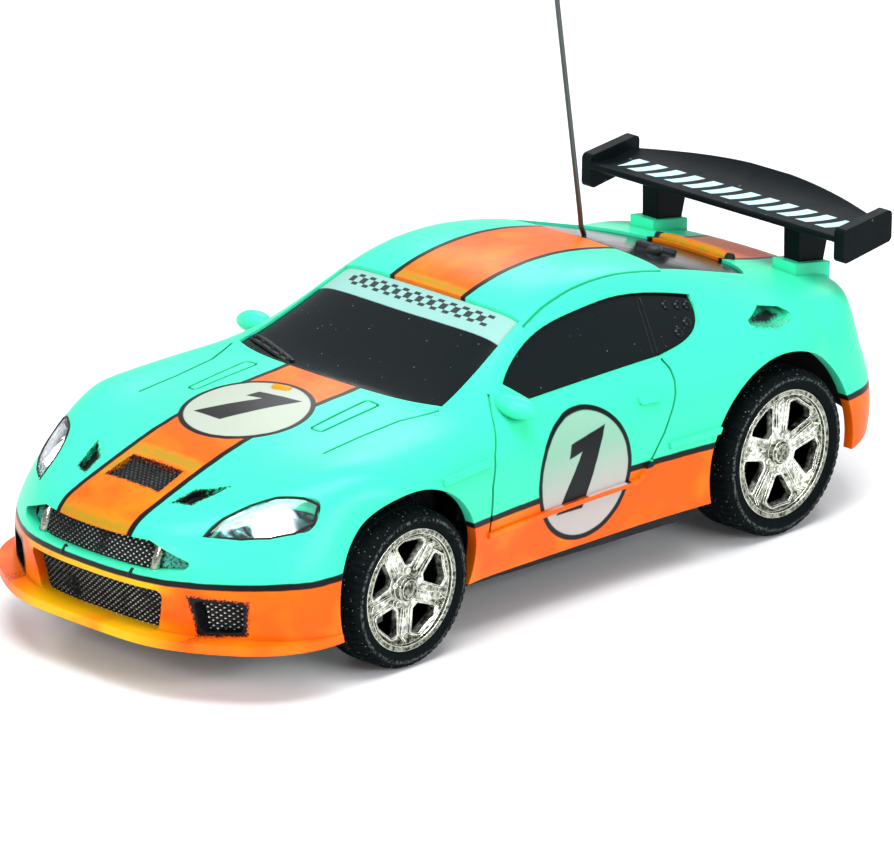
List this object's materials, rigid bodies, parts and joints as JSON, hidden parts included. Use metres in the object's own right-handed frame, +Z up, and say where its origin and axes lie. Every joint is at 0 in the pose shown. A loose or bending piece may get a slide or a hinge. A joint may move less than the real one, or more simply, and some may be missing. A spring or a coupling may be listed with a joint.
{
  "type": "remote control car",
  "caption": "Pocket-size remote control racing car with magnet steering, geared rear drive, lit headlamps, rear wing and wire antenna.",
  "frame": {"origin": "on the ground, midway along and across the car", "axes": "+X forward, +Y to the left of the car, +Z up"},
  "size_m": [0.076, 0.033, 0.064],
  "materials": {
    "body_paint": "glossy painted body, turquoise over orange with black pinstripes",
    "smoked_glazing": "smoked, almost black, glossy",
    "black_plastic": "satin black moulding",
    "grille_black": "black mesh relief",
    "clear_lens": "clear glossy",
    "red_lens": "translucent red",
    "chrome_plastic": "vacuum plated",
    "tyre_rubber": "soft black rubber",
    "steel": "bright",
    "brass": "turned",
    "nylon_white": "natural nylon",
    "magnet_metal": "nickel plated",
    "copper_wire": "enamelled copper",
    "board_green": "solder-mask green",
    "component_black": "moulded epoxy",
    "battery_wrap": "shrink wrap",
    "lead_insulation": "PVC insulation",
    "led_epoxy": "clear epoxy, lit white"
  },
  "bodies": {
    "car": {"body_shell": "body_paint", "window_insert": "smoked_glazing", "lower_grille": "grille_black", "upper_grille": "grille_black", "rear_wing": "black_plastic", "headlight_lens_left": "clear_lens", "headlight_lens_right": "clear_lens", "headlight_reflector_left": "chrome_plastic", "headlight_reflector_right": "chrome_plastic", "headlight_led_left": "led_epoxy", "headlight_led_right": "led_epoxy", "tail_lamp_left": "red_lens", "tail_lamp_right": "red_lens", "chassis": "black_plastic", "front_cover": "black_plastic", "gearbox_cover": "black_plastic", "coil_bobbin": "nylon_white", "coil_winding": "copper_wire", "drive_motor": "steel", "gear_shaft": "steel", "axle_bushes": "brass", "battery": "battery_wrap", "receiver_board": "board_green", "control_chip": "component_black", "radio_crystal": "magnet_metal", "capacitor": "component_black", "tuning_coil": "magnet_metal", "switch_housing": "component_black", "charging_socket": "component_black", "antenna_wire": "steel", "antenna_holder": "black_plastic", "battery_leads": "lead_insulation", "motor_leads": "lead_insulation", "led_leads": "lead_insulation", "body_screws": "steel", "front_cover_screws": "steel", "gearbox_screws": "steel"},
    "knuckle_left": {"steering_knuckle_left": "black_plastic", "stub_axle_left": "steel"},
    "knuckle_right": {"steering_knuckle_right": "black_plastic", "stub_axle_right": "steel"},
    "front_wheel_left": {"front_rim_left": "chrome_plastic", "front_tyre_left": "tyre_rubber"},
    "front_wheel_right": {"front_rim_right": "chrome_plastic", "front_tyre_right": "tyre_rubber"},
    "drag_link": {"tie_rod": "nylon_white", "steering_magnet": "magnet_metal"},
    "rear_drive": {"rear_axle": "steel", "axle_gear": "nylon_white", "rear_rim_left": "chrome_plastic", "rear_rim_right": "chrome_plastic", "rear_tyre_left": "tyre_rubber", "rear_tyre_right": "tyre_rubber"},
    "reduction": {"reduction_gear": "nylon_white"},
    "motor_shaft": {"motor_pinion": "brass"},
    "switch_knob": {"power_switch": "black_plastic"},
    "trim": {"trim_lever": "black_plastic"}
  },
  "joints": [
    {"name": "steer_left", "type": "hinge", "parent": "car", "child": "knuckle_left", "pos_m": [0.01925, 0.0102, 0.00615], "axis": [0, 0, 1], "range_deg": [-18, 18]},
    {"name": "steer_right", "type": "hinge", "parent": "car", "child": "knuckle_right", "pos_m": [0.01925, -0.0102, 0.00615], "axis": [0, 0, 1], "range_deg": [-18, 18]},
    {"name": "drag_link_slide", "type": "slide", "parent": "car", "child": "drag_link", "axis": [0, 1, 0], "range_m": [-0.00115, 0.00115]},
    {"name": "front_spin_left", "type": "hinge", "parent": "knuckle_left", "child": "front_wheel_left", "pos_m": [0.01925, 0.014, 0.00615], "axis": [0, 1, 0], "continuous": true},
    {"name": "front_spin_right", "type": "hinge", "parent": "knuckle_right", "child": "front_wheel_right", "pos_m": [0.01925, -0.014, 0.00615], "axis": [0, 1, 0], "continuous": true},
    {"name": "rear_axle_spin", "type": "hinge", "parent": "car", "child": "rear_drive", "pos_m": [-0.02225, 0, 0.0067], "axis": [0, 1, 0], "continuous": true},
    {"name": "reduction_spin", "type": "hinge", "parent": "car", "child": "reduction", "pos_m": [-0.01802, 0.005, 0.00824], "axis": [0, 1, 0], "continuous": true},
    {"name": "motor_spin", "type": "hinge", "parent": "car", "child": "motor_shaft", "pos_m": [-0.01344, 0.004, 0.00743], "axis": [0, 1, 0], "continuous": true},
    {"name": "switch_slide", "type": "slide", "parent": "car", "child": "switch_knob", "axis": [1, 0, 0], "range_m": [-0.0015, 0]},
    {"name": "trim_pivot", "type": "hinge", "parent": "car", "child": "trim", "pos_m": [0.0256, 0, 0.0035], "axis": [0, 0, 1], "range_deg": [-12, 12]}
  ],
  "couplings": [
    {"joint": "steer_right", "follows": "steer_left", "ratio": 1},
    {"joint": "drag_link_slide", "follows": "steer_left", "m_per_rad": 0.0036},
    {"joint": "reduction_spin", "follows": "rear_axle_spin", "ratio": -2},
    {"joint": "motor_spin", "follows": "rear_axle_spin", "ratio": 4.8889}
  ]
}
